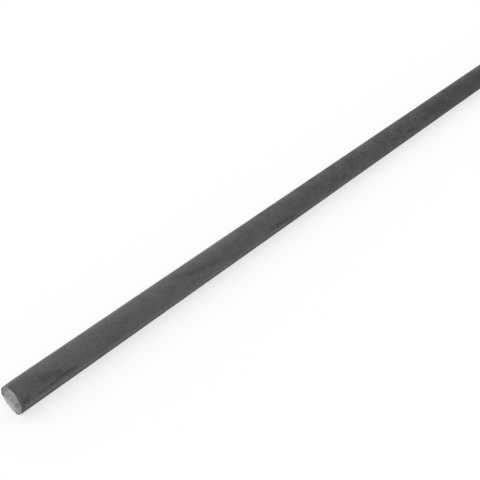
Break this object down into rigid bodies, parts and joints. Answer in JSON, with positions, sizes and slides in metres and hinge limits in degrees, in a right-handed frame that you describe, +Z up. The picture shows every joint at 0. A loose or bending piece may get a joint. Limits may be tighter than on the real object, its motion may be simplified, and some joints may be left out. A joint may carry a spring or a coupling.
{
  "type": "round metal bar",
  "caption": "Straight solid round bar of hot-rolled steel with dark mill scale and a pale sheared face at each end.",
  "frame": {"origin": "on the ground below the middle of the bar, which lies on its lowest line", "axes": "+X along the bar from the near end to the far end, +Z up, +Y to the left of someone who looks along +X"},
  "size_m": [0.9144, 0.0126, 0.0127],
  "materials": {
    "round_bar": "matte"
  },
  "bodies": {
    "root": {"round_bar": "round_bar"}
  },
  "joints": []
}
